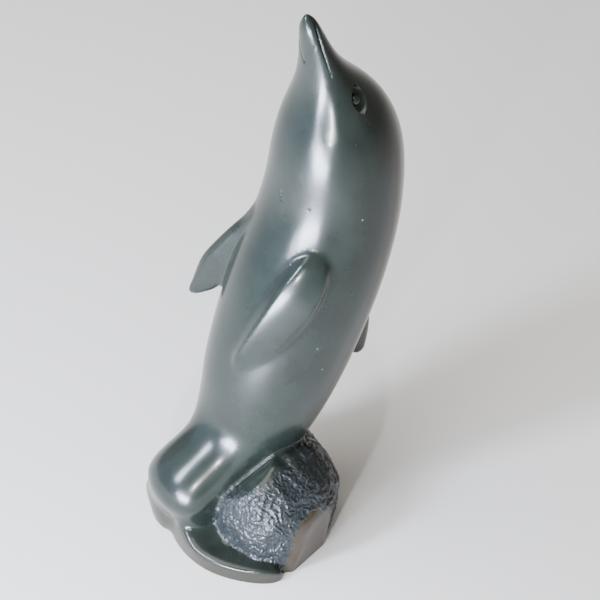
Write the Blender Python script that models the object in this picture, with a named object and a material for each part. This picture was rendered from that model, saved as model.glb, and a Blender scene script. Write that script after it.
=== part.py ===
"""A leaping dolphin carved with its rock from one block of dark polished stone.

The left side of the dolphin faces +X, its belly faces -Y and its snout points up +Z.
The origin is on the ground, under the middle of the carving.
"""

import math

import bmesh
import bpy
import numpy as np
from mathutils import Matrix, Vector, noise

# Driving size: the ground to the tip of the snout
HEIGHT = 0.290

# The figure's own unit, a 290th of its height. Its pose and carving are given in it below,
# from a point on the ground under the notch between the flukes
UNIT = HEIGHT / 290.0

# Every form below is a row of stations along it: x, y and z of the centre, the half width across,
# and the depth to either side. On the body the first depth is the belly's and the second the back's
ACROSS = Vector((1.0, 0.0, 0.0))
BODY = [
    (0.0, 82.0, 290.0, 3.0, 3.0, 3.0),
    (0.0, 85.0, 278.0, 6.2, 6.2, 6.0),
    (0.0, 88.8, 264.0, 9.0, 9.0, 8.4),
    (0.0, 93.4, 249.0, 15.0, 15.5, 14.2),
    (0.0, 98.0, 232.0, 25.7, 26.0, 25.4),
    (0.0, 100.5, 213.0, 31.5, 31.5, 31.5),
    (0.0, 99.8, 194.0, 33.0, 33.0, 33.2),
    (0.0, 97.0, 175.0, 34.2, 34.2, 34.8),
    (0.0, 91.5, 157.0, 35.6, 35.6, 35.8),
    (0.0, 84.0, 139.0, 36.8, 36.8, 36.8),
    (0.0, 76.2, 121.0, 36.6, 36.8, 36.6),
    (0.0, 69.0, 103.0, 35.8, 36.2, 35.8),
    (0.0, 61.5, 85.5, 34.2, 34.8, 34.2),
    (0.0, 54.0, 68.5, 31.5, 31.5, 31.5),
    (0.0, 43.0, 53.0, 27.0, 26.0, 30.0),
    (1.5, 27.0, 41.0, 20.0, 17.5, 26.0),
    (-1.0, 3.0, 27.5, 20.0, 18.5, 18.0),
    (-2.0, 6.5, 18.0, 20.5, 9.0, 14.0),
    (-2.0, 9.0, 12.0, 19.0, 7.0, 10.0),
]

# The flukes curl round the foot of the rock, the right one closer to it
FLUKE_ACROSS = Vector((0.0, 1.0, 0.0))
LEFT_FLUKE = [
    (-4.0, 15.0, 24.0, 10.0, 8.0, 18.0),
    (4.0, 9.5, 15.0, 11.0, 8.0, 20.0),
    (14.0, 5.5, 8.5, 10.5, 6.5, 16.0),
    (24.0, 5.0, 4.8, 9.5, 5.2, 12.0),
    (35.0, 7.7, 4.4, 8.2, 5.0, 12.0),
    (46.0, 13.7, 4.0, 6.3, 5.0, 12.0),
    (54.5, 20.3, 4.0, 4.4, 4.5, 12.0),
    (59.5, 26.0, 3.5, 2.0, 3.5, 12.0),
]
RIGHT_FLUKE = [
    (3.0, 15.0, 24.0, 10.0, 8.0, 18.0),
    (-6.5, 7.5, 16.5, 11.0, 8.0, 20.0),
    (-15.0, 4.5, 12.0, 10.5, 8.0, 18.0),
    (-23.5, 7.5, 8.5, 9.0, 6.5, 14.0),
    (-30.5, 14.0, 5.5, 8.0, 5.8, 12.0),
    (-34.0, 22.5, 5.0, 6.0, 5.0, 12.0),
    (-34.5, 31.0, 4.0, 3.0, 4.0, 12.0),
]

# The left flipper lies along the belly with its tip joined to it, and the right one stands free
LEFT_FLIPPER_ACROSS = Vector((-0.80, -0.54, 0.24))
LEFT_FLIPPER = [
    (24.5, 70.5, 169.0, 5.0, 4.0, 4.0),
    (26.5, 66.0, 161.0, 9.0, 5.0, 5.0),
    (26.0, 59.5, 150.5, 11.5, 5.2, 5.2),
    (23.0, 52.0, 138.5, 11.0, 4.8, 4.8),
    (18.5, 44.0, 124.5, 9.0, 4.2, 4.2),
    (13.0, 37.5, 113.5, 5.8, 3.5, 3.5),
    (9.0, 33.5, 106.0, 2.5, 2.5, 2.5),
]
RIGHT_FLIPPER_ACROSS = Vector((-0.79, -0.39, 0.47))
RIGHT_FLIPPER = [
    (-19.0, 66.0, 165.0, 8.0, 5.0, 5.0),
    (-26.0, 61.5, 152.0, 7.0, 4.6, 4.6),
    (-30.5, 57.0, 140.0, 8.5, 4.2, 4.2),
    (-35.5, 52.0, 127.0, 9.8, 3.6, 3.6),
    (-40.0, 47.5, 117.5, 8.8, 3.0, 3.0),
    (-45.5, 43.0, 109.0, 4.5, 2.4, 2.4),
]

DORSAL_FIN = [
    (0.0, 90.0, 102.0, 6.0, 22.0, 22.0),
    (0.0, 103.0, 95.0, 5.5, 19.0, 19.0),
    (0.0, 111.0, 86.0, 4.8, 12.0, 12.0),
    (0.0, 114.5, 75.0, 3.8, 6.0, 6.0),
    (0.0, 114.0, 64.5, 3.0, 3.5, 3.5),
]

# Rock: its centre and half lengths, the exponent that makes it blocky, how far its skin rises and
# falls as a share of its size and how fine that is, and a point and direction of each dressed plane
ROCK_CENTRE = (11.0, 46.0, 8.0)
ROCK_HALF = (48.0, 34.0, 46.0)
ROCK_SQUARE = 2.7
ROCK_ROUGHNESS = 0.05
ROCK_GRAIN = 6.0
ROCK_CUTS = [
    ((59.0, 31.0, 0.0), (0.96, 0.26, -0.10)),
    ((40.5, 70.0, 0.0), (0.74, 0.66, -0.12)),
]

# Mouth: where it runs on the body, as shares of the body's length and degrees from the side
# towards the belly, down the left side from the tip of the snout. Its groove's width in the middle
# of each side, and the share of it that is left at the ends
MOUTH = [(0.010, -90.0), (0.014, -30.0), (0.030, -8.0), (0.060, 2.0), (0.095, 6.0), (0.130, 11.0)]
MOUTH_WIDTH = 2.0
MOUTH_TAPER = 0.4

# Eye: the two corners of its hollow, given as the mouth's points are, the hollow's width and depth,
# the ball's radius and how far its middle lies under the skin
EYE_FRONT = (0.160, -25.0)
EYE_REAR = (0.203, -8.0)
EYE_WIDTH = 8.0
EYE_DEPTH = 2.8
EYEBALL_RADIUS = 3.2
EYEBALL_SUNK = 2.2


def smooth(stations, share):
    """The row at a share from 0 to 1 of the way along the even cubic B-spline that the stations steer."""
    rows = np.array(stations, float)
    rows = np.vstack([2 * rows[0] - rows[1], rows, 2 * rows[-1] - rows[-2]])
    place = share * (len(rows) - 3)
    first = min(int(place), len(rows) - 4)
    t = place - first
    weights = np.array([(1 - t) ** 3, 3 * t**3 - 6 * t**2 + 4, 1 + 3 * t + 3 * t**2 - 3 * t**3, t**3])
    return weights / 6 @ rows[first : first + 4]


def skin(stations, across, share, angle, blunt=0.04, corner=2.0, lead=0.0):
    """The point of a form at a share of its length and an angle round it, which turns from across.

    The ends are rounded over the share named blunt, corner is the exponent of the section's
    superellipse, and lead makes the section thicker on its across side and thinner on the other.
    """
    row = smooth(stations, share)
    step = 0.002
    ahead = smooth(stations, min(share + step, 1.0))[:3]
    behind = smooth(stations, max(share - step, 0.0))[:3]
    along = Vector(ahead - behind).normalized()
    deep = along.cross(across).normalized()
    wide = deep.cross(along)
    end = min(share, 1.0 - share, blunt) / blunt
    cap = math.sqrt(1.0 - (1.0 - end) ** 2)
    c = math.cos(angle)
    s = math.sin(angle)
    over = math.copysign(abs(c) ** (2.0 / corner), c)
    out = math.copysign(abs(s) ** (2.0 / corner), s) * (1.0 + lead * over)
    depth = row[4] if s > 0 else row[5]
    return (Vector(row[:3]) + wide * (over * row[3] * cap) + deep * (out * depth * cap)) * UNIT


def new_object(name, shape, smooth_faces=True):
    """An object of the shape, with its faces outward."""
    if shape.calc_volume(signed=True) < 0:
        bmesh.ops.reverse_faces(shape, faces=shape.faces)
    for face in shape.faces:
        face.smooth = smooth_faces
    mesh = bpy.data.meshes.new(name)
    shape.to_mesh(mesh)
    shape.free()
    return bpy.data.objects.new(name, mesh)


def loft(name, stations, across, rings, sides, ease=0.6, **shape):
    """A closed form along its stations: the rings of a sphere, closer at its ends, moved to its sections."""
    ball = bmesh.new()
    bmesh.ops.create_uvsphere(ball, u_segments=sides, v_segments=rings, radius=1.0)
    for vertex in ball.verts:
        ring = math.acos(max(-1.0, min(1.0, vertex.co.z))) / math.pi
        share = ring - ease * math.sin(2 * math.pi * ring) / (2 * math.pi)
        vertex.co = skin(stations, across, share, math.atan2(vertex.co.y, vertex.co.x), **shape)
    return new_object(name, ball)


def rock():
    """A rounded block with a rough skin, dressed to its planes."""
    ball = bmesh.new()
    bmesh.ops.create_icosphere(ball, subdivisions=4, radius=1.0)
    for vertex in ball.verts:
        away = vertex.co.normalized()
        size = sum(abs(a) ** ROCK_SQUARE for a in away) ** (-1.0 / ROCK_SQUARE)
        size *= 1.0 + ROCK_ROUGHNESS * noise.noise(away * ROCK_GRAIN)
        vertex.co = Vector([c + h * a * size for c, h, a in zip(ROCK_CENTRE, ROCK_HALF, away)]) * UNIT
    for point, direction in ROCK_CUTS:
        everything = ball.verts[:] + ball.edges[:] + ball.faces[:]
        point = Vector(point) * UNIT
        bmesh.ops.bisect_plane(ball, geom=everything, plane_co=point, plane_no=direction, clear_outer=True)
        bmesh.ops.holes_fill(ball, edges=[edge for edge in ball.edges if edge.is_boundary])
    return new_object("rock", ball, smooth_faces=False)


def ground():
    """A block under z = 0, as large as the carving, that trims its underside flat."""
    block = bmesh.new()
    bmesh.ops.create_cube(block, size=HEIGHT)
    bmesh.ops.translate(block, verts=block.verts, vec=(0, 0, -HEIGHT / 2))
    return new_object("ground", block, smooth_faces=False)


def side_point(share, degrees, side):
    """The point of the body's skin on its left side, or mirrored to the right where side is -1."""
    point = skin(BODY, ACROSS, share, math.radians(degrees))
    return Vector((side * point.x, point.y, point.z))


def mouth():
    """The groove between the jaws: a wire laid along the skin, over the tip of the snout from side to side.

    It narrows towards its three ends: the two corners of the mouth and the tip of the snout.
    """
    left = [side_point(share, degrees, 1) for share, degrees in reversed(MOUTH)]
    right = [side_point(share, degrees, -1) for share, degrees in MOUTH[1:]]
    route = left + right
    curve = bpy.data.curves.new("mouth", "CURVE")
    curve.dimensions = "3D"
    curve.bevel_depth = MOUTH_WIDTH / 2 * UNIT
    curve.bevel_resolution = 1
    curve.resolution_u = 4
    curve.use_fill_caps = True
    spline = curve.splines.new("NURBS")
    spline.points.add(len(route) - 1)
    for index, (point, place) in enumerate(zip(spline.points, route)):
        point.co = (*place, 1.0)
        swell = abs(math.sin(2 * math.pi * index / (len(route) - 1)))
        point.radius = MOUTH_TAPER + (1.0 - MOUTH_TAPER) * swell
    spline.order_u = 4
    spline.use_endpoint_u = True
    wire = bpy.data.objects.new("mouth_wire", curve)
    bpy.context.scene.collection.objects.link(wire)
    drawn = wire.evaluated_get(bpy.context.evaluated_depsgraph_get())
    groove = bmesh.new()
    groove.from_mesh(bpy.data.meshes.new_from_object(drawn))
    bmesh.ops.remove_doubles(groove, verts=groove.verts, dist=1e-6)
    bpy.data.objects.remove(wire)
    return new_object("mouth", groove)


def eye_frame(side):
    """Half the hollow's length, and the matrix that lays a form in it: x out of the head, z to its front corner."""
    front = side_point(*EYE_FRONT, side)
    rear = side_point(*EYE_REAR, side)
    middle = side_point((EYE_FRONT[0] + EYE_REAR[0]) / 2, (EYE_FRONT[1] + EYE_REAR[1]) / 2, side)
    long_way = (front - rear).normalized()
    below = side_point(EYE_REAR[0], EYE_FRONT[1], side)
    out = long_way.cross(below - middle).normalized()
    if out.x * side < 0:
        out.negate()
    turn = Matrix((out, long_way.cross(out), long_way)).transposed().to_4x4()
    return (front - rear).length / 2 / UNIT, Matrix.Translation(middle) @ turn


def eye_hollow(side):
    """The almond-shaped hollow of an eye, pointed at both ends."""
    half, frame = eye_frame(side)
    stations = []
    for place in np.linspace(-1.0, 1.0, 7):
        swell = 1.0 - place * place
        wide = 0.2 + swell * EYE_WIDTH / 2
        stations.append((0.0, 0.0, half * place, 0.2 + swell * EYE_DEPTH, wide, wide))
    hollow = loft(f"eye_hollow_{side}", stations, ACROSS, rings=12, sides=12, blunt=0.05)
    hollow.data.transform(frame)
    return hollow


def eyeball(side):
    """The round ball of an eye in its hollow."""
    ball = bmesh.new()
    bmesh.ops.create_uvsphere(ball, u_segments=12, v_segments=8, radius=EYEBALL_RADIUS * UNIT)
    bmesh.ops.translate(ball, verts=ball.verts, vec=(-EYEBALL_SUNK * UNIT, 0, 0))
    bmesh.ops.transform(ball, verts=ball.verts, matrix=eye_frame(side)[1])
    return new_object(f"eyeball_{side}", ball)


def stone():
    """Dark green-grey stone, polished."""
    material = bpy.data.materials.new("polished stone")
    material.use_nodes = True
    shader = material.node_tree.nodes["Principled BSDF"]
    shader.inputs["Base Color"].default_value = (0.085, 0.105, 0.102, 1.0)
    shader.inputs["Roughness"].default_value = 0.3
    return material


def boolean(target, operation, tool):
    """Join a tool to the carving or cut it away, and keep the tool as a hidden wire helper."""
    tool.hide_render = True
    tool.display_type = "WIRE"
    tools.objects.link(tool)
    modifier = target.modifiers.new(tool.name, "BOOLEAN")
    modifier.operation = operation
    modifier.solver = "EXACT"
    modifier.object = tool


def centre(objects, whole):
    """Move every mesh so that the origin is under the middle of the whole carving."""
    bpy.context.view_layer.update()
    box = whole.evaluated_get(bpy.context.evaluated_depsgraph_get()).bound_box
    low = Vector([min(corner[i] for corner in box) for i in range(3)])
    high = Vector([max(corner[i] for corner in box) for i in range(3)])
    middle = (low + high) / 2
    for each in objects:
        each.data.transform(Matrix.Translation((-middle.x, -middle.y, 0)))


for old in list(bpy.data.objects):
    bpy.data.objects.remove(old)
parts = bpy.data.collections.new("stone dolphin")
tools = bpy.data.collections.new("stone dolphin cutters")
bpy.context.scene.collection.children.link(parts)
bpy.context.scene.collection.children.link(tools)

dolphin = loft("dolphin_on_rock", BODY, ACROSS, rings=52, sides=40)
dolphin.data.materials.append(stone())
parts.objects.link(dolphin)

boolean(dolphin, "UNION", rock())
fluke = {"rings": 20, "sides": 24, "corner": 3.5, "blunt": 0.1}
boolean(dolphin, "UNION", loft("left_fluke", LEFT_FLUKE, FLUKE_ACROSS, **fluke))
boolean(dolphin, "UNION", loft("right_fluke", RIGHT_FLUKE, -FLUKE_ACROSS, **fluke))
flipper = {"rings": 22, "sides": 20, "blunt": 0.12, "lead": 0.3}
boolean(dolphin, "UNION", loft("left_flipper", LEFT_FLIPPER, LEFT_FLIPPER_ACROSS, **flipper))
boolean(dolphin, "UNION", loft("right_flipper", RIGHT_FLIPPER, RIGHT_FLIPPER_ACROSS, **flipper))
boolean(dolphin, "UNION", loft("dorsal_fin", DORSAL_FIN, ACROSS, rings=18, sides=16, blunt=0.1))
boolean(dolphin, "DIFFERENCE", mouth())
for side in (1, -1):
    boolean(dolphin, "DIFFERENCE", eye_hollow(side))
    boolean(dolphin, "UNION", eyeball(side))
boolean(dolphin, "DIFFERENCE", ground())
centre([dolphin, *tools.objects], dolphin)
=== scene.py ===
"""A leaping dolphin carved with its rock from one block of dark green-grey stone.

The left side of the dolphin faces +X, its belly faces -Y and its snout points up +Z.
"""

import math

import bpy
import numpy as np
from mathutils import Matrix, Vector, noise


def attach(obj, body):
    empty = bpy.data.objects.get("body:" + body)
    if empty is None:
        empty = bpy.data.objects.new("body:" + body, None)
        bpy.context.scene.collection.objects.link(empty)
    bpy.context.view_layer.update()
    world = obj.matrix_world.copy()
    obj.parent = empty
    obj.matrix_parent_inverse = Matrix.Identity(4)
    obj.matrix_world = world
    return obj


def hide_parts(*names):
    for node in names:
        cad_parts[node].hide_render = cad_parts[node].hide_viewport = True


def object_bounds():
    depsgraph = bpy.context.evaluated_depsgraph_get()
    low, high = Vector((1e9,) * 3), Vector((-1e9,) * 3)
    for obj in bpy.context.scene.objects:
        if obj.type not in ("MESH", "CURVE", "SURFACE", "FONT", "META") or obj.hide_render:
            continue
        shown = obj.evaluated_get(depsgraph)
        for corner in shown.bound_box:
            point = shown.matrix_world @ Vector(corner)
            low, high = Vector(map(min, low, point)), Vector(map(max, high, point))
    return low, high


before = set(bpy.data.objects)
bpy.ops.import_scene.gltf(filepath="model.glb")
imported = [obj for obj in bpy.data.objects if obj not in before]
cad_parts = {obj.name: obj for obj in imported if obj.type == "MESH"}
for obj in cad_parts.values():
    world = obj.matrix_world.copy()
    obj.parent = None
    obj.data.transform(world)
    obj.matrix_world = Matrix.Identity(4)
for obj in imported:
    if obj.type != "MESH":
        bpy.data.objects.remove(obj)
cad_low, cad_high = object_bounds()

# The dolphin's body: snout, head, trunk and tail stock, the main form of the carving.
# Soft dark stone, roughed out with a point, rasped to a smooth round section and polished.
# Its places are in the carving's own unit, a 290th of its height, from the notch of the flukes.
UNIT = (cad_high.z - cad_low.z) / 290.0
ACROSS = (1.0, 0.0, 0.0)
BODY = [
    (0.0, 82.0, 290.0, 3.0, 3.0, 3.0),
    (0.0, 85.0, 278.0, 7.6, 5.4, 5.2),
    (0.0, 88.8, 264.0, 11.0, 7.8, 7.3),
    (0.0, 93.4, 249.0, 17.0, 14.3, 13.1),
    (0.0, 98.0, 232.0, 26.6, 25.7, 25.1),
    (0.0, 100.5, 213.0, 31.5, 31.5, 31.5),
    (0.0, 99.8, 194.0, 33.0, 33.0, 33.2),
    (0.0, 97.0, 175.0, 34.2, 34.2, 34.8),
    (0.0, 91.5, 157.0, 35.6, 35.6, 35.8),
    (0.0, 84.0, 139.0, 36.8, 36.8, 36.8),
    (0.0, 76.2, 121.0, 36.6, 36.8, 36.6),
    (0.0, 69.0, 103.0, 35.8, 36.2, 35.8),
    (0.0, 61.5, 85.5, 34.2, 34.8, 34.2),
    (0.0, 54.0, 68.5, 31.5, 31.5, 31.5),
    (0.0, 43.0, 53.0, 27.0, 26.0, 30.0),
    (1.2, 27.0, 41.0, 20.5, 17.5, 26.0),
    (-2.8, 2.8, 27.5, 22.6, 18.5, 18.0),
    (-2.0, 6.5, 18.0, 20.5, 9.0, 14.0),
    (-2.0, 9.0, 12.0, 19.0, 7.0, 10.0),
]


def rows_at(stations, share):
    """The rows at shares from 0 to 1 of the way along the even cubic B-spline that the stations steer."""
    rows = np.array(stations, float)
    rows = np.vstack([2 * rows[0] - rows[1], rows, 2 * rows[-1] - rows[-2]])
    place = share * (len(rows) - 3)
    first = np.minimum(place.astype(int), len(rows) - 4)
    t = (place - first)[:, None]
    weights = ((1 - t) ** 3, 3 * t**3 - 6 * t**2 + 4, 1 + 3 * t + 3 * t**2 - 3 * t**3, t**3)
    return sum(weight / 6 * rows[first + k] for k, weight in enumerate(weights))


def unit_rows(vectors):
    """The vectors, one a row, each made one long."""
    return vectors / np.linalg.norm(vectors, axis=1)[:, None]


# A crested section is this high near its edges, and rises by so much more to its ridge, as shares
# of its depth. The way along a form is taken between places this share of its length apart.
CREST_EDGE = 0.45
CREST_RISE = 0.65
ALONG_STEP = 0.002


def skin(stations, across, share, angle, blunt=0.04, corner=2.0, crest=None):
    """Points of a form at shares of its length and angles round it, which turn from across.

    Its ends are rounded over the share named blunt, and corner is the exponent of the section's
    superellipse. A section with a crest is flatter on its outer face, with a ridge there, at a
    place across it that moves from the first to the second number, as sharp as the third says.
    """
    row = rows_at(stations, share)
    ahead = rows_at(stations, np.minimum(share + ALONG_STEP, 1.0))[:, :3]
    behind = rows_at(stations, np.maximum(share - ALONG_STEP, 0.0))[:, :3]
    along = unit_rows(ahead - behind)
    deep = unit_rows(np.cross(along, across))
    wide = np.cross(deep, along)
    end = np.minimum(np.minimum(share, 1.0 - share), blunt) / blunt
    cap = np.sqrt(1.0 - (1.0 - end) ** 2)
    c = np.cos(angle)
    s = np.sin(angle)
    over = np.sign(c) * np.abs(c) ** (2.0 / corner)
    out = np.sign(s) * np.abs(s) ** (2.0 / corner)
    if crest:
        ridge = crest[0] + (crest[1] - crest[0]) * share
        behind_ridge = np.exp(-crest[2] * (over + 1.0) / (ridge + 1.0))
        before_ridge = np.exp(-crest[2] * (1.0 - over) / (1.0 - ridge))
        slope = -np.log(behind_ridge + before_ridge) / crest[2]
        out = np.where(s < 0, -np.sqrt(np.abs(s)) * (CREST_EDGE + CREST_RISE * slope), out)
    depth = np.where(s > 0, row[:, 4], row[:, 5])
    across_line = row[:, :3] + wide * (over * row[:, 3] * cap)[:, None]
    return (across_line + deep * (out * depth * cap)[:, None]) * UNIT


def places(obj):
    """The places of an object's vertices, one a row."""
    flat = np.empty(len(obj.data.vertices) * 3, np.float32)
    obj.data.vertices.foreach_get("co", flat)
    return flat.reshape(-1, 3).astype(float)


def put(obj, points):
    """Move an object's vertices to the points."""
    obj.data.vertices.foreach_set("co", np.asarray(points, np.float32).ravel())
    obj.data.update()


def select_only(obj):
    """Make this the one selected and active object."""
    bpy.ops.object.select_all(action="DESELECT")
    obj.select_set(True)
    bpy.context.view_layer.objects.active = obj


def normals_outwards(obj):
    """Turn all faces of a closed form outwards."""
    select_only(obj)
    bpy.ops.object.mode_set(mode="EDIT")
    bpy.ops.mesh.select_all(action="SELECT")
    bpy.ops.mesh.normals_make_consistent(inside=False)
    bpy.ops.object.mode_set(mode="OBJECT")


def rasped_form(name, stations, across, rings, sides, ease=0.6, **shape):
    """A closed form along its stations: a sphere's rings, closer at its ends, moved to its sections."""
    bpy.ops.object.select_all(action="DESELECT")
    bpy.ops.mesh.primitive_uv_sphere_add(segments=sides, ring_count=rings, radius=1.0)
    form = bpy.context.object
    form.name = name
    ball = places(form)
    ring = np.arccos(np.clip(ball[:, 2], -1.0, 1.0)) / math.pi
    share = ring - ease * np.sin(2 * math.pi * ring) / (2 * math.pi)
    put(form, skin(stations, across, share, np.arctan2(ball[:, 1], ball[:, 0]), **shape))
    normals_outwards(form)
    return form


body = rasped_form("body", BODY, ACROSS, rings=360, sides=240)

# The flukes, curled round the foot of the rock, the right one closer to it than the left.
# The same stone, cut as flat plates with an upright rim, which swell into the tail stock.
FLUKE_ACROSS = np.array((0.0, 1.0, 0.0))
LEFT_FLUKE = [
    (-4.0, 15.0, 24.0, 10.0, 8.0, 18.0),
    (4.0, 9.5, 15.0, 11.0, 8.0, 20.0),
    (14.0, 5.5, 8.5, 10.5, 6.5, 16.0),
    (24.0, 5.0, 4.8, 9.5, 5.2, 12.0),
    (35.0, 7.7, 4.4, 8.2, 5.0, 12.0),
    (46.0, 13.7, 4.0, 6.3, 5.0, 12.0),
    (54.5, 20.3, 4.0, 4.4, 4.5, 12.0),
    (59.5, 26.0, 3.5, 2.0, 3.5, 12.0),
]
RIGHT_FLUKE = [
    (3.0, 15.0, 24.0, 10.0, 8.0, 18.0),
    (-6.5, 7.5, 16.5, 11.0, 8.0, 20.0),
    (-15.0, 4.5, 12.0, 10.5, 8.0, 18.0),
    (-23.5, 7.5, 8.5, 8.0, 6.5, 14.0),
    (-28.5, 14.0, 5.0, 6.0, 4.8, 12.0),
    (-30.5, 22.5, 4.5, 5.0, 4.0, 12.0),
    (-30.5, 31.0, 4.0, 3.0, 3.5, 12.0),
]
plate = {"rings": 120, "sides": 120, "corner": 5.5, "blunt": 0.1}
left_fluke = rasped_form("left_fluke", LEFT_FLUKE, FLUKE_ACROSS, **plate)
right_fluke = rasped_form("right_fluke", RIGHT_FLUKE, -FLUKE_ACROSS, **plate)

# The flippers. The left one lies along the belly with its tip joined to it, the right one stands
# free of it. The same stone, each a blade with a soft crest near its leading edge.
LEFT_FLIPPER_ACROSS = (-0.80, -0.54, 0.24)
LEFT_FLIPPER = [
    (24.5, 70.5, 169.0, 5.0, 4.5, 4.0),
    (26.0, 66.6, 160.7, 9.0, 6.0, 5.8),
    (25.1, 60.6, 150.0, 11.5, 7.0, 6.7),
    (22.1, 53.1, 138.0, 11.0, 8.0, 6.3),
    (17.6, 45.1, 124.0, 9.0, 8.0, 5.7),
    (12.1, 38.6, 113.0, 5.8, 6.0, 5.0),
    (8.4, 34.3, 105.6, 2.5, 2.5, 3.3),
]
RIGHT_FLIPPER_ACROSS = (-0.79, -0.39, 0.47)
RIGHT_FLIPPER = [
    (-14.0, 72.0, 170.0, 7.0, 5.0, 5.0),
    (-25.5, 62.0, 152.5, 6.5, 4.6, 4.6),
    (-30.5, 57.0, 140.0, 8.3, 4.2, 4.2),
    (-35.5, 52.0, 127.0, 9.8, 3.6, 3.6),
    (-40.0, 47.5, 117.5, 6.0, 3.0, 3.0),
    (-45.5, 43.0, 109.0, 1.8, 2.4, 2.4),
]
blade = {"rings": 120, "sides": 96}
left_flipper = rasped_form(
    "left_flipper", LEFT_FLIPPER, LEFT_FLIPPER_ACROSS, blunt=0.12, crest=(0.8, 0.9, 2.5), **blade
)
right_flipper = rasped_form(
    "right_flipper", RIGHT_FLIPPER, RIGHT_FLIPPER_ACROSS, blunt=0.08, crest=(0.6, 0.8, 9.0), **blade
)

# The dorsal fin, low on the back and swept towards the tail. The same stone, left thick at its root.
DORSAL_FIN = [
    (0.0, 90.0, 102.0, 6.0, 22.0, 22.0),
    (0.0, 103.0, 95.0, 5.5, 19.0, 19.0),
    (0.0, 111.0, 86.0, 4.8, 12.0, 12.0),
    (0.0, 114.5, 75.0, 3.8, 6.0, 6.0),
    (0.0, 114.0, 64.5, 3.0, 3.5, 3.5),
]
dorsal_fin = rasped_form("dorsal_fin", DORSAL_FIN, ACROSS, rings=96, sides=80, blunt=0.1)

# The rock that the dolphin rises from, left of the same block. Its skin is broken with a point
# chisel. Two planes low on its left and back were dressed flat, and a third slopes to the tail stock.
ROCK_CENTRE = np.array((11.0, 46.0, 8.0))
ROCK_HALF = np.array((48.0, 34.0, 46.0))
ROCK_SQUARE = 2.7
ROCK_ROUGHNESS = 0.025
ROCK_GRAIN = 6.0
ROCK_CUTS = [
    ((59.0, 31.0, 0.0), (0.96, 0.26, -0.10)),
    ((40.5, 70.0, 0.0), (0.74, 0.66, -0.12)),
    ((20.8, 31.3, 42.8), (-0.32, -0.48, 0.82)),
]
bpy.ops.object.select_all(action="DESELECT")
bpy.ops.mesh.primitive_ico_sphere_add(subdivisions=7, radius=1.0)
rock = bpy.context.object
rock.name = "rock"
away = unit_rows(places(rock))
reach = (np.abs(away) ** ROCK_SQUARE).sum(1) ** (-1.0 / ROCK_SQUARE)
reach *= 1.0 + ROCK_ROUGHNESS * np.array([noise.noise(Vector(a) * ROCK_GRAIN) for a in away])
put(rock, (ROCK_CENTRE + ROCK_HALF * away * reach[:, None]) * UNIT)
bpy.ops.object.mode_set(mode="EDIT")
for point, direction in ROCK_CUTS:
    bpy.ops.mesh.select_all(action="SELECT")
    bpy.ops.mesh.bisect(
        plane_co=Vector(point) * UNIT, plane_no=Vector(direction), use_fill=True, clear_outer=True
    )
bpy.ops.object.mode_set(mode="OBJECT")

# One stone: the forms run into each other with no joint, so they are made one skin, its creases
# softened as a rasp and polish leave them, and its underside cut flat to stand on.
# Then the finer work: the chiselled skin of the rock, the line of the mouth and the eyes.
SKIN_GRAIN = 1.9
FINE_EDGE = 1.1
FINER_EDGE = 0.6
FINEST_EDGE = 0.3
SNOUT_FROM = 262.0
HEAD_FROM = 200.0
ROCK_BELOW = 60.0
forms = [body, left_fluke, right_fluke, left_flipper, right_flipper, dorsal_fin, rock]
low = np.min([places(form).min(0) for form in forms], axis=0)
high = np.max([places(form).max(0) for form in forms], axis=0)


def copy_of(obj, name):
    """A copy of an object with a mesh of its own."""
    twin = obj.copy()
    twin.data = obj.data.copy()
    twin.name = name
    bpy.context.scene.collection.objects.link(twin)
    return twin


def apply(obj, kind, **settings):
    """Add a modifier of a kind with its settings and apply it."""
    select_only(obj)
    modifier = obj.modifiers.new(kind.lower(), kind)
    for setting, value in settings.items():
        setattr(modifier, setting, value)
    bpy.ops.object.modifier_apply(modifier=modifier.name)


bpy.ops.object.select_all(action="DESELECT")
for form in forms:
    copy_of(form, form.name + "_part").select_set(True)
bpy.context.view_layer.objects.active = bpy.data.objects["body_part"]
bpy.ops.object.join()
carving = bpy.context.object
carving.name = "carved_dolphin"
exact = copy_of(carving, "forms_together")
apply(carving, "REMESH", mode="VOXEL", voxel_size=SKIN_GRAIN * UNIT)
apply(carving, "SHRINKWRAP", target=exact, wrap_method="NEAREST_SURFACEPOINT")


def distances(form, points):
    """How far each point is from a form's surface, in the carving's unit."""
    return np.array([(form.closest_point_on_mesh(p)[1] - Vector(p)).length for p in points]) / UNIT


def group(obj, name, weights):
    """The name of a new vertex group with a weight for each vertex."""
    made = obj.vertex_groups.new(name=name)
    for index in np.flatnonzero(weights > 0.001):
        made.add([int(index)], float(weights[index]), "REPLACE")
    return made.name


def refine(obj, chosen, edge):
    """Halve the edges of those chosen faces that are larger than a square of an edge."""
    areas = np.empty(len(obj.data.polygons), np.float32)
    obj.data.polygons.foreach_get("area", areas)
    chosen = chosen & (areas > (edge * UNIT) ** 2)
    select_only(obj)
    bpy.ops.object.mode_set(mode="EDIT")
    bpy.ops.mesh.select_mode(type="FACE")
    bpy.ops.mesh.select_all(action="DESELECT")
    bpy.ops.object.mode_set(mode="OBJECT")
    obj.data.polygons.foreach_set("select", chosen)
    bpy.ops.object.mode_set(mode="EDIT")
    bpy.ops.mesh.subdivide(number_cuts=1)
    bpy.ops.object.mode_set(mode="OBJECT")


def face_middles(obj):
    """The middles of an object's faces, one a row."""
    flat = np.empty(len(obj.data.polygons) * 3, np.float32)
    obj.data.polygons.foreach_get("center", flat)
    return flat.reshape(-1, 3).astype(float)


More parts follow.
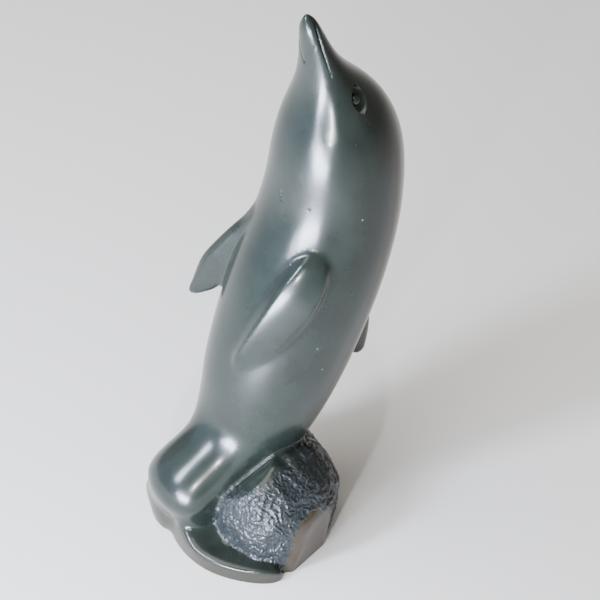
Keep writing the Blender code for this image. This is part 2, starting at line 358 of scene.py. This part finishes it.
# the thin blades, the snout and the rim of the flukes need a finer skin than the trunk
BOX_MARGIN = 3.0
RIM_LOW = 5.0
RIM_HIGH = 22.0
RIM_BACK = 25.0
middles = face_middles(carving)
thin = middles[:, 2] > SNOUT_FROM * UNIT
for form in (left_flipper, right_flipper, dorsal_fin):
    box_low = places(form).min(0) - BOX_MARGIN * UNIT
    box_high = places(form).max(0) + BOX_MARGIN * UNIT
    close = np.flatnonzero(((middles > box_low) & (middles < box_high)).all(1))
    thin[close] |= distances(form, middles[close]) < 2.0
at_rim = (middles[:, 2] < RIM_HIGH * UNIT) & (middles[:, 2] > RIM_LOW * UNIT)
rim = np.flatnonzero(at_rim & (middles[:, 1] < RIM_BACK * UNIT))
off_rock = distances(rock, middles[rim]) > 3.0
for form in (left_fluke, right_fluke):
    thin[rim] |= (distances(form, middles[rim]) < 1.0) & off_rock
refine(carving, thin, FINE_EDGE)
apply(carving, "SHRINKWRAP", target=exact, wrap_method="NEAREST_SURFACEPOINT")

# where two forms meet in a crease, the skin is finer still
CREASES = [
    (body, rock),
    (left_fluke, rock),
    (right_fluke, rock),
    (body, left_flipper),
    (body, right_flipper),
    (body, dorsal_fin),
]
for reach, edge in ((4.0, FINE_EDGE), (1.5, 0.7)):
    middles = face_middles(carving)
    crease = np.zeros(len(middles), bool)
    for one, other in CREASES:
        box_low = places(other).min(0) - BOX_MARGIN * UNIT
        box_high = places(other).max(0) + BOX_MARGIN * UNIT
        close = np.flatnonzero(((middles > box_low) & (middles < box_high)).all(1))
        close = close[distances(other, middles[close]) < reach]
        crease[close[distances(one, middles[close]) < reach]] = True
    refine(carving, crease, edge)
    apply(carving, "SHRINKWRAP", target=exact, wrap_method="NEAREST_SURFACEPOINT")

points = places(carving)
near = {form.name: distances(form, points) for form in forms}


def height_over(form, points):
    """How high each point is over a form, in the carving's unit, and the form's normal there."""
    found = [form.closest_point_on_mesh(p) for p in points]
    feet = np.array([hit[1] for hit in found])
    ways = np.array([hit[2] for hit in found])
    return ((points - feet) * ways).sum(1) / UNIT, ways


# a fillet of a size is rasped into each crease, as the surface of the two forms' smooth union
ON_FORM = 0.3
FILLET_STEPS = 4
FILLETS = [
    (body, left_flipper, 4.0),
    (body, right_flipper, 4.0),
    (body, dorsal_fin, 6.0),
    (body, rock, 2.5),
    (left_fluke, rock, 0.8),
    (right_fluke, rock, 0.8),
]
for one, other, size in FILLETS:
    closer = np.minimum(near[one.name], near[other.name])
    further = np.maximum(near[one.name], near[other.name])
    close = np.flatnonzero((closer < ON_FORM) & (further < size))
    for _ in range(FILLET_STEPS):
        over_one, way_one = height_over(one, points[close])
        over_other, way_other = height_over(other, points[close])
        blend = np.clip(1.0 - np.abs(over_one - over_other) / size, 0.0, 1.0)
        share = np.where(over_one < over_other, 1.0 - blend / 2, blend / 2)[:, None]
        slope = share * way_one + (1.0 - share) * way_other
        off = np.minimum(over_one, over_other) - size * blend**2 / 4
        points[close] -= (off / (slope**2).sum(1))[:, None] * slope * UNIT
put(carving, points)

# the joins are then smoothed over a width in passes, most where the tail stock runs into the flukes
JOIN_FALL = 1.5
AT_JOIN = 1.0
JOINS = [
    ("body", "left_fluke", 12.0, 90),
    ("body", "right_fluke", 12.0, 90),
    ("left_fluke", "right_fluke", 3.0, 8),
    ("body", "left_flipper", 5.0, 10),
    ("body", "right_flipper", 5.0, 10),
    ("body", "dorsal_fin", 6.0, 8),
    ("body", "rock", 2.5, 4),
]
for one, other, width, passes in JOINS:
    weights = np.clip(JOIN_FALL - JOIN_FALL * np.maximum(near[one], near[other]) / width, 0.0, 1.0)
    weights[np.minimum(near[one], near[other]) > AT_JOIN] = 0.0
    join = group(carving, one + "_" + other, weights)
    apply(carving, "SMOOTH", factor=0.5, iterations=passes, vertex_group=join)

select_only(carving)
bpy.ops.object.mode_set(mode="EDIT")
bpy.ops.mesh.select_all(action="SELECT")
bpy.ops.mesh.bisect(plane_co=(0, 0, 0), plane_no=(0, 0, -1), use_fill=True, clear_outer=True)
bpy.ops.object.mode_set(mode="OBJECT")


# The mouth runs from its corner on one side over the tip of the snout to the other side.
MOUTH = [(0.010, -90.0), (0.017, -20.0), (0.031, -4.5), (0.063, 9.0), (0.093, 11.5), (0.126, 15.0)]
MOUTH_WIDTH = 1.9
MOUTH_DEPTH = 0.8
MOUTH_TAPER = 0.35
MOUTH_REACH = 4.0
# how deep the mouth's groove goes before it is fully painted with the darker chiselled colour, as painted
# shade
MOUTH_SHADE_AND_DULL = 0.3
LIP_HEIGHT = 0.15
LIP_AWAY = 1.7
LIP_SPREAD = 0.8

# Faint folds: one from the mouth under the throat, where the beak meets the head, and one from
# the mouth's corner down the cheek.
BEAK_FOLD = [(0.056, 14.0), (0.062, 40.0), (0.077, 64.0), (0.096, 84.0), (0.101, 90.0)]
CHEEK_FOLD = [(0.131, 19.0), (0.144, 29.5), (0.163, 37.5), (0.180, 41.0), (0.198, 41.5), (0.212, 40.0)]
FOLDS = [(BEAK_FOLD, 3.0, 0.3), (CHEEK_FOLD, 10.0, 0.12)]
FOLD_FADE = (1.5, 5.0)

# Nicks on the belly and the left side, as a share along the body, an angle, a radius and a depth.
NICKS = [
    (0.340, 86.6, 0.9, 0.6),
    (0.347, 86.0, 1.0, 0.8),
    (0.354, 85.4, 0.9, 0.6),
    (0.348, 57.2, 0.8, 0.5),
]


def side_points(shares, degrees, side):
    """Points of the body's skin on its left side, or mirrored to the right where side is -1."""
    found = skin(BODY, ACROSS, np.atleast_1d(shares).astype(float), np.radians(np.atleast_1d(degrees)))
    found[:, 0] *= side
    return found


def skin_line(knots, side):
    """Places along a line on the skin of one side, and the share along it of each."""
    along = np.linspace(0.0, 1.0, 240)
    knots = np.array(knots)
    at = rows_at(np.column_stack([knots, np.zeros((len(knots), 4))]), along)
    return side_points(at[:, 0], at[:, 1], side), along


def nearest(points, line):
    """For each point, the index of the nearest place of a line, and how far off that is."""
    gaps = np.linalg.norm(points[:, None, :] - line[None, :, :], axis=2)
    best = gaps.argmin(1)
    return best, gaps[np.arange(len(points)), best]


# The eyes: an almond-shaped hollow, pointed at both ends, with a round ball in it.
EYE_FRONT = (0.158, -28.0)
EYE_REAR = (0.200, -7.0)
EYE_WIDTH = 8.0
EYE_DEPTH = 2.8
EYEBALL_RADIUS = 2.9
EYEBALL_SUNK = 2.9
EYEBALL_ASIDE = 0.9
EYE_CORNER = 0.2
EYE_STEEP = 0.35
EYE_GENTLE = 1.1


def eye_frame(side):
    """An eye's middle, the ways to its front corner, across it and out of the head, and half its length."""
    front, rear, below = side_points(
        [EYE_FRONT[0], EYE_REAR[0], EYE_REAR[0]], [EYE_FRONT[1], EYE_REAR[1], EYE_FRONT[1]], side
    )
    middle = side_points((EYE_FRONT[0] + EYE_REAR[0]) / 2, (EYE_FRONT[1] + EYE_REAR[1]) / 2, side)[0]
    half = np.linalg.norm(front - rear) / 2 / UNIT
    long_way = (front - rear) / np.linalg.norm(front - rear)
    out = np.cross(long_way, below - middle)
    out *= np.sign(out[0] * side) / np.linalg.norm(out)
    return middle, long_way, np.cross(out, long_way), out, half


def in_eyes(points, reach):
    """Which points lie in an eye or within a reach, in the carving's unit, round it."""
    chosen = np.zeros(len(points), bool)
    for side in (1, -1):
        middle, long_way, across_eye, _, half = eye_frame(side)
        local = (points - middle) / UNIT
        u = local @ long_way / (half + reach)
        v = local @ across_eye / (EYE_WIDTH / 2 + reach)
        chosen |= (u * u + v * v < 1.0) & (np.abs(local).max(1) < 2 * half)
    return chosen


def fine_work(points, reach):
    """Which points lie within a reach, in the carving's unit, of the mouth or an eye."""
    chosen = np.zeros(len(points), bool)
    high_up = np.flatnonzero(points[:, 2] > HEAD_FROM * UNIT)
    for side in (1, -1):
        for knots, width, _ in [(MOUTH, MOUTH_WIDTH, MOUTH_DEPTH)] + FOLDS:
            line = skin_line(knots, side)[0]
            chosen[high_up] |= nearest(points[high_up], line)[1] < (width / 2 + reach) * UNIT
    for share, angle, radius, _ in NICKS:
        off = np.linalg.norm(points - side_points(share, angle, 1)[0], axis=1)
        chosen |= off < (radius + reach) * UNIT
    return chosen | in_eyes(points, reach)


# The chiselled skin covers the rock below its polished shoulder and round its dressed facet.
SHOULDER = [
    (0, 36.0), (23, 39.4), (36, 39.9), (48, 44.2), (62, 47.7), (75, 50.0), (88, 50.7),
    (101, 52.2), (112, 53.5), (125, 60.0), (180, 60.0),
]
FACET = [
    (37.0, 32.5), (46.6, 33.9), (56.5, 29.5), (64.0, 18.4), (62.0, 8.0), (60.0, -2.0),
    (27.0, -2.0), (26.0, 12.7), (30.0, 24.2),
]
CHISEL_HEIGHT = 1.2
CHISEL_MIDDLE = 0.45
WANDER = 2.5
WANDER_GRAIN = 0.35


def outside(points, corners):
    """How far points of a plane are outside a polygon, less than 0 inside it."""
    corners = np.array(corners, float)
    ends = np.roll(corners, -1, axis=0)
    gap = np.full(len(points), np.inf)
    inside = np.zeros(len(points), bool)
    for start, end in zip(corners, ends):
        edge = end - start
        share = np.clip(((points - start) @ edge) / (edge @ edge), 0.0, 1.0)
        gap = np.minimum(gap, np.linalg.norm(points - start - share[:, None] * edge, axis=1))
        crosses = (start[1] > points[:, 1]) != (end[1] > points[:, 1])
        rise = np.where(crosses, (points[:, 1] - start[1]) / (end[1] - start[1] + 1e-12), 0.0)
        inside ^= crosses & (points[:, 0] < start[0] + rise * edge[0])
    return np.where(inside, -gap, gap)


def ramp(values, start, end):
    """0 before start, 1 past end, and a smooth rise between them."""
    t = np.clip((values - start) / (end - start), 0.0, 1.0)
    return t * t * (3.0 - 2.0 * t)


def rock_finish(points):
    """For each point, how far it is chiselled and how far it is on the dressed facet, from 0 to 1."""
    p = points / UNIT
    wander = np.array([noise.noise(Vector(q) * WANDER_GRAIN) for q in p])
    round_rock = np.degrees(np.arctan2(np.abs(p[:, 0] - ROCK_CENTRE[0]), ROCK_CENTRE[1] - p[:, 1]))
    azimuths, heights = zip(*SHOULDER)
    below = np.interp(round_rock, azimuths, heights) - p[:, 2] + WANDER * wander
    off_plane = np.full(len(p), np.inf)
    for plane_point, plane_way in ROCK_CUTS[:2]:
        gap = np.abs((p - plane_point) @ (np.array(plane_way) / np.linalg.norm(plane_way)))
        off_plane = np.minimum(off_plane, gap)
    off_facet = outside(p[:, 1:], FACET) + WANDER * wander
    facet = ramp(-off_facet, -0.5, 0.5) * ramp(-off_plane, -4.0, -2.0)
    on_rock = ramp(-distances(rock, points), -1.2, -0.2)
    for form, start, end in ((body, 0.4, 1.2), (left_fluke, 0.0, 0.5), (right_fluke, 0.0, 0.5)):
        on_rock *= ramp(distances(form, points), start, end)
    return on_rock * ramp(below, -0.3, 1.0) * (1.0 - facet), facet * on_rock


# noise_vector shifts its places by random numbers, which come from the clock unless a seed is set
CHISEL_SEED = 1795799836
noise.seed_set(CHISEL_SEED)


def pecked(p):
    """The height from 0 to 1 of the chiselled skin: short curling ridges between pecked bowls."""
    q = p + noise.noise_vector(p * 0.30) * 1.4
    ridge = max(0.0, 1.0 - abs(noise.noise(q * 0.38)) * 3.4)
    bowls = min(1.0, noise.voronoi(q * 0.42)[0][0] * 1.1) ** 2
    lumps = 0.5 + 0.5 * noise.noise(p * 0.12)
    return 0.40 * ridge + 0.35 * bowls + 0.25 * lumps


# the chiselled skin needs a finer mesh to hold its marks, finest on the left side
SEEN_SIDE_FROM = 18.0
FOOT_EDGE = 0.01
middles = face_middles(carving)
low_down = np.flatnonzero(middles[:, 2] < ROCK_BELOW * UNIT)
chiselled = np.zeros(len(middles), bool)
chiselled[low_down] = rock_finish(middles[low_down])[0] > 0.02
refine(carving, chiselled, FINE_EDGE)
middles = face_middles(carving)
low_down = np.flatnonzero((middles[:, 2] < ROCK_BELOW * UNIT) & (middles[:, 0] > SEEN_SIDE_FROM * UNIT))
chiselled = np.zeros(len(middles), bool)
chiselled[low_down] = rock_finish(middles[low_down])[0] > 0.02
refine(carving, chiselled, FINER_EDGE)
for reach, edge in ((3.0, FINE_EDGE), (2.0, FINER_EDGE)):
    refine(carving, fine_work(face_middles(carving), reach), edge)
refine(carving, in_eyes(face_middles(carving), 0.5), FINEST_EDGE)
middles = face_middles(carving)
at_mouth = np.zeros(len(middles), bool)
high_up = np.flatnonzero(middles[:, 2] > HEAD_FROM * UNIT)
for side in (1, -1):
    gap = nearest(middles[high_up], skin_line(MOUTH, side)[0])[1]
    at_mouth[high_up] |= gap < MOUTH_WIDTH / 2 * UNIT
refine(carving, at_mouth, FINEST_EDGE)
points = places(carving)
fine = group(carving, "fine_work", fine_work(points, 3.0).astype(float))
apply(carving, "SHRINKWRAP", target=exact, wrap_method="NEAREST_SURFACEPOINT", vertex_group=fine)

# normals of the plain form, along which the finer work is raised or sunk
points = places(carving)
flat = np.empty(len(points) * 3, np.float32)
carving.data.vertices.foreach_get("normal", flat)
normals = flat.reshape(-1, 3).astype(float)
low_down = np.flatnonzero((points[:, 2] < ROCK_BELOW * UNIT) & (points[:, 2] > FOOT_EDGE * UNIT))
tooled_and_groove_shade = np.zeros(len(points))
facet_and_reflection = np.zeros(len(points))
tooled_and_groove_shade[low_down], facet_and_reflection[low_down] = rock_finish(points[low_down])

# the upright side band of the flukes, picked by its sideways-facing normals, is painted part way to the
# warm brown, a painted reflection of a warm surface beside it
RIM_PAINTED_REFLECTION = 0.5
PLATE_TOP = 17.0
at_plate = low_down[points[low_down, 2] < PLATE_TOP * UNIT]
off_flukes = np.minimum(distances(left_fluke, points[at_plate]), distances(right_fluke, points[at_plate]))
upright_reflection = 1.0 - ramp(np.abs(normals[at_plate, 2]), 0.30, 0.60)
upright_reflection *= 1.0 - ramp(off_flukes, 0.5, 1.5)
clear_of_rock = ramp(distances(rock, points[at_plate]), 0.8, 2.0)
upright_reflection *= clear_of_rock * ramp(distances(body, points[at_plate]), 1.0, 3.0)
facet_and_reflection[at_plate] = np.maximum(facet_and_reflection[at_plate], RIM_PAINTED_REFLECTION * upright_reflection)

raised = np.zeros(len(points))
for index in np.flatnonzero(tooled_and_groove_shade > 0.001):
    raised[index] = (pecked(Vector(points[index] / UNIT)) - CHISEL_MIDDLE) * CHISEL_HEIGHT * tooled_and_groove_shade[index]

high_up = np.flatnonzero(points[:, 2] > HEAD_FROM * UNIT)
for side in (1, -1):
    line, along = skin_line(MOUTH, side)
    best, gap = nearest(points[high_up], line)
    ahead = unit_rows(line[np.minimum(best + 1, len(line) - 1)] - line[np.maximum(best - 1, 0)])
    to_back = np.cross(normals[high_up], ahead) * side
    across_mouth = np.einsum("ij,ij->i", points[high_up] - line[best], to_back) / UNIT
    gap /= UNIT
    swell = MOUTH_TAPER + (1.0 - MOUTH_TAPER) * np.abs(np.sin(math.pi * along[best]))
    groove = np.clip(1.0 - gap / (MOUTH_WIDTH / 2 * swell), 0.0, 1.0) ** 0.7 * MOUTH_DEPTH * swell
    lip = LIP_HEIGHT * swell * np.exp(-(((across_mouth - LIP_AWAY) / LIP_SPREAD) ** 2))
    raised[high_up] += np.where(gap < MOUTH_REACH, lip - groove, 0.0)
    # the deep of the mouth's groove takes the darker chiselled colour, painted shade in the groove, and the
    # chiselled skin's duller gloss
    tooled_and_groove_shade[high_up] = np.maximum(tooled_and_groove_shade[high_up], ramp(groove, 0.0, MOUTH_SHADE_AND_DULL))
    for knots, width, depth in FOLDS:
        fold_gap = nearest(points[high_up], skin_line(knots, side)[0])[1] / UNIT
        fold = depth * np.clip(1.0 - (2 * fold_gap / width) ** 2, 0.0, 1.0) ** 2
        raised[high_up] -= fold * ramp(gap, *FOLD_FADE)
for share, angle, radius, depth in NICKS:
    off = np.linalg.norm(points - side_points(share, angle, 1)[0], axis=1) / UNIT
    nick = np.clip(1.0 - (off / radius) ** 2, 0.0, 1.0)
    raised -= depth * nick
    tooled_and_groove_shade = np.maximum(tooled_and_groove_shade, nick)

points += normals * raised[:, None] * UNIT
points[:, 2] = np.maximum(points[:, 2], 0.0)
for side in (1, -1):
    middle, long_way, across_eye, out, half = eye_frame(side)
    local = (points[high_up] - middle) / UNIT
    u = local @ long_way / half
    v = local @ across_eye
    w = local @ out
    toward_belly = -np.sign(across_eye[1])
    wide = EYE_CORNER + np.clip(1.0 - u * u, 0.0, 1.0) * EYE_WIDTH / 2
    within = (np.abs(u) < 1.0) & (np.abs(v) < wide) & (w > -8.0)
    to_front = v * toward_belly / wide
    steep = np.clip((1.0 - to_front) / EYE_STEEP, 0.0, 1.0)
    gentle = np.clip((1.0 + to_front) / EYE_GENTLE, 0.0, 1.0)
    bowl = np.minimum(steep, gentle) * np.clip(1.0 - u**4, 0.0, 1.0)
    sunk = w - EYE_DEPTH * bowl * (2.0 - bowl)
    off_ball = (u * half) ** 2 + (v - EYEBALL_ASIDE * toward_belly) ** 2
    ball = -EYEBALL_SUNK + np.sqrt(np.clip(EYEBALL_RADIUS**2 - off_ball, 0.0, None))
    on_ball = off_ball < EYEBALL_RADIUS**2
    floor_of_eye = np.where(on_ball, np.maximum(sunk, ball), sunk)
    moved = np.where(within, floor_of_eye - w, 0.0)
    points[high_up] += moved[:, None] * out * UNIT
put(carving, points)

for name, values in (("tooled_and_groove_shade", tooled_and_groove_shade), ("facet_and_reflection", facet_and_reflection)):
    attribute = carving.data.attributes.new(name=name, type="FLOAT", domain="POINT")
    attribute.data.foreach_set("value", values.astype(np.float32))
SHARP_ANGLE = 50.0
select_only(carving)
bpy.ops.object.shade_smooth_by_angle(angle=math.radians(SHARP_ANGLE))

# the notch of the flukes was the origin so far, and the middle of the carving is from here on
middle = (low + high) / 2
points[:, 0] -= middle[0]
points[:, 1] -= middle[1]
put(carving, points)
while carving.vertex_groups:
    carving.vertex_groups.remove(carving.vertex_groups[0])
for form in forms + [exact]:
    bpy.data.objects.remove(form)


def linear(colour):
    """An sRGB hex colour as linear RGBA."""
    parts = [int(colour[i : i + 2], 16) / 255 for i in (0, 2, 4)]
    return [c / 12.92 if c <= 0.04045 else ((c + 0.055) / 1.055) ** 2.4 for c in parts] + [1.0]


def add_node(tree, kind, settings=None, links=None):
    """Add a node with its settings, its own or those of its inputs, and its links from other sockets."""
    node = tree.nodes.new(kind)
    for key, value in (settings or {}).items():
        if isinstance(key, int) or key in node.inputs:
            node.inputs[key].default_value = value
        else:
            setattr(node, key, value)
    for key, source in (links or {}).items():
        tree.links.new(source, node.inputs[key])
    return node


# Dark soft stone, rasped, sanded and waxed: a deep grey-green with a faint cloudy mottle, a soft
# gloss, tiny black pits and few pale flecks. Where the chisel left it, it is darker and blue-grey.
# The warm brown of the dressed facet is partly its own tone and partly a painted reflection; the
# flukes' upright rim and the deep of the mouth's groove take colours as painted reflection and shade.
POLISHED_DARK = linear("181e1b")
POLISHED_PALE = linear("222925")
CHISELLED_LOW = linear("101315")
CHISELLED_HIGH = linear("282e30")
# warm brown: partly the dressed facet's own tone, partly a painted reflection of a warm brown surface
FACET_AND_REFLECTION_BROWN = linear("332b21")
PIT = linear("15181a")
FLECK = linear("9aa59e")
MOTTLE_SIZE = 0.014
GRAIN_SIZE = 0.0011
PIT_SPACING = 0.009
FLECK_SPACING = 0.016
POLISHED_ROUGHNESS = 0.23
CHISELLED_ROUGHNESS = 0.36
GRAIN_HEIGHT = 0.0004

stone = bpy.data.materials.new("waxed_dark_soapstone_carved")
stone.use_nodes = True
tree = stone.node_tree
tree.nodes.clear()
place = add_node(tree, "ShaderNodeTexCoord").outputs["Object"]
mottle = add_node(
    tree,
    "ShaderNodeTexNoise",
    {"Scale": 1 / MOTTLE_SIZE, "Detail": 5.0, "Roughness": 0.6},
    {"Vector": place},
)
grain = add_node(
    tree,
    "ShaderNodeTexNoise",
    {"Scale": 1 / GRAIN_SIZE, "Detail": 2.0, "Roughness": 0.5},
    {"Vector": place},
)
clouds = add_node(
    tree,
    "ShaderNodeMapRange",
    {"From Min": 0.25, "From Max": 0.75},
    {"Value": mottle.outputs["Fac"]},
)
polished = add_node(
    tree,
    "ShaderNodeMix",
    {"data_type": "RGBA", 6: POLISHED_DARK, 7: POLISHED_PALE},
    {0: clouds.outputs["Result"]},
)
pits = add_node(
    tree, "ShaderNodeTexVoronoi", {"Scale": 1 / PIT_SPACING, "Randomness": 1.0}, {"Vector": place}
)
pit_mask = add_node(
    tree,
    "ShaderNodeMapRange",
    {"From Min": 0.035, "From Max": 0.055, "To Min": 1.0, "To Max": 0.0},
    {"Value": pits.outputs["Distance"]},
)
pitted = add_node(
    tree,
    "ShaderNodeMix",
    {"data_type": "RGBA", 7: PIT},
    {0: pit_mask.outputs["Result"], 6: polished.outputs[2]},
)
flecks = add_node(
    tree, "ShaderNodeTexVoronoi", {"Scale": 1 / FLECK_SPACING, "Randomness": 1.0}, {"Vector": place}
)
fleck_mask = add_node(
    tree,
    "ShaderNodeMapRange",
    {"From Min": 0.015, "From Max": 0.03, "To Min": 0.8, "To Max": 0.0},
    {"Value": flecks.outputs["Distance"]},
)
flecked = add_node(
    tree,
    "ShaderNodeMix",
    {"data_type": "RGBA", 7: FLECK},
    {0: fleck_mask.outputs["Result"], 6: pitted.outputs[2]},
)
chisel = add_node(
    tree,
    "ShaderNodeMix",
    {"data_type": "RGBA", 6: CHISELLED_LOW, 7: CHISELLED_HIGH},
    {0: grain.outputs["Fac"]},
)
tooled_and_shade_mask = add_node(tree, "ShaderNodeAttribute", {"attribute_name": "tooled_and_groove_shade"}).outputs["Fac"]
facet_and_reflection_mask = add_node(tree, "ShaderNodeAttribute", {"attribute_name": "facet_and_reflection"}).outputs["Fac"]
with_chisel = add_node(
    tree,
    "ShaderNodeMix",
    {"data_type": "RGBA"},
    {0: tooled_and_shade_mask, 6: flecked.outputs[2], 7: chisel.outputs[2]},
)
with_facet_and_reflection = add_node(
    tree,
    "ShaderNodeMix",
    {"data_type": "RGBA", 7: FACET_AND_REFLECTION_BROWN},
    {0: facet_and_reflection_mask, 6: with_chisel.outputs[2]},
)
gloss = add_node(
    tree,
    "ShaderNodeMapRange",
    {"From Min": 0.0, "From Max": 1.0, "To Min": POLISHED_ROUGHNESS, "To Max": CHISELLED_ROUGHNESS},
    {"Value": tooled_and_shade_mask},
)
grain_height = add_node(
    tree, "ShaderNodeMath", {"operation": "MULTIPLY"}, {0: grain.outputs["Fac"], 1: tooled_and_shade_mask}
)
bump = add_node(
    tree, "ShaderNodeBump", {"Strength": 0.6, "Distance": GRAIN_HEIGHT}, {"Height": grain_height.outputs[0]}
)
shader = add_node(
    tree,
    "ShaderNodeBsdfPrincipled",
    {"IOR": 1.42, "Coat Weight": 0.12, "Coat Roughness": 0.12, "Coat IOR": 1.5},
    {
        "Base Color": with_facet_and_reflection.outputs[2],
        "Roughness": gloss.outputs["Result"],
        "Normal": bump.outputs["Normal"],
    },
)
add_node(tree, "ShaderNodeOutputMaterial", None, {"Surface": shader.outputs["BSDF"]})
carving.data.materials.clear()
carving.data.materials.append(stone)

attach(carving, "root")
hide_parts("dolphin_on_rock")

# The floor: a plain pale sheet that the carving stands on.
FLOOR_SIZE = 6.0
bpy.ops.object.select_all(action="DESELECT")
bpy.ops.mesh.primitive_plane_add(size=FLOOR_SIZE, location=(0, 0, 0))
floor = bpy.context.object
floor.name = "floor"
paper = bpy.data.materials.new("matt_white_paper")
paper.use_nodes = True
paper_shader = paper.node_tree.nodes["Principled BSDF"]
paper_shader.inputs["Base Color"].default_value = linear("f4f2ef")
paper_shader.inputs["Roughness"].default_value = 0.9
paper_shader.inputs["Specular IOR Level"].default_value = 0.1
floor.data.materials.append(paper)

# The studio: two slanting strips of light low in front and a tall one above them, a broad dim
# bluish window behind those, a small lamp at the left, a broad one overhead, and a pale room.
ROOM_LIGHT = 0.45
world = bpy.data.worlds.new("pale_room")
bpy.context.scene.world = world
world.use_nodes = True
world.node_tree.nodes["Background"].inputs["Color"].default_value = linear("ece8e0")
world.node_tree.nodes["Background"].inputs["Strength"].default_value = ROOM_LIGHT


def towards(azimuth, elevation):
    """The way to an azimuth, from the front to the carving's left, and an elevation, in degrees."""
    a = math.radians(azimuth)
    e = math.radians(elevation)
    return Vector((math.sin(a) * math.cos(e), -math.cos(a) * math.cos(e), math.sin(e)))


# every lamp faces this height of the carving
LAMP_AIM = 0.15


def soft_lamp(name, start, end, width, power, colour):
    """A soft lamp facing the carving, from one place to another: azimuth, distance and height."""
    first, last = (towards(azimuth, 0.0) * away + Vector((0, 0, up)) for azimuth, away, up in (start, end))
    long_way = (last - first).normalized()
    back = (first + last) / 2 - Vector((0, 0, LAMP_AIM))
    back = (back - back.dot(long_way) * long_way).normalized()
    bpy.ops.object.select_all(action="DESELECT")
    bpy.ops.object.light_add(type="AREA", location=(first + last) / 2)
    lamp = bpy.context.object
    lamp.name = name
    lamp.rotation_euler = Matrix((long_way, back.cross(long_way), back)).transposed().to_euler()
    lamp.data.shape = "RECTANGLE"
    lamp.data.size = (last - first).length
    lamp.data.size_y = width
    lamp.data.energy = power
    lamp.data.color = linear(colour)[:3]
    lamp.visible_camera = False
    return lamp


soft_lamp("broad_window", (-20, 0.8, 0.0), (-20, 0.8, 0.7), 1.2, 2.4, "a8ccff")
soft_lamp("low_window", (37, 0.6, 0.0), (16, 0.70, 0.11), 0.15, 22.0, "e0eaff")
soft_lamp("middle_window", (16, 0.70, 0.11), (8, 0.74, 0.17), 0.12, 3.2, "e0eaff")
soft_lamp("high_window", (-6, 0.75, 0.40), (-6, 0.75, 0.76), 0.15, 15.0, "e0eaff")
soft_lamp("side_lamp", (39, 0.5, 0.232), (41.5, 0.5, 0.232), 0.03, 1.6, "ffffff")
soft_lamp("top_lamp", (-80, 0.75, 1.25), (20, 0.65, 1.25), 0.9, 14.0, "fffaf2")

# The camera, as the photograph was taken: from the carving's left front, looking down at it.
CAMERA_AIM = Vector((0.0007, 0.0115, 0.1268))
CAMERA_AZIMUTH = 55.0
CAMERA_ELEVATION = 42.0
CAMERA_DISTANCE = 1.25
CAMERA_LENS = 152.75
back = towards(CAMERA_AZIMUTH, CAMERA_ELEVATION)
bpy.ops.object.camera_add(location=CAMERA_AIM + back * CAMERA_DISTANCE)
camera = bpy.context.object
camera.rotation_euler = back.to_track_quat("Z", "Y").to_euler()
camera.data.lens = CAMERA_LENS
camera.data.sensor_width = 36.0
bpy.context.scene.camera = camera
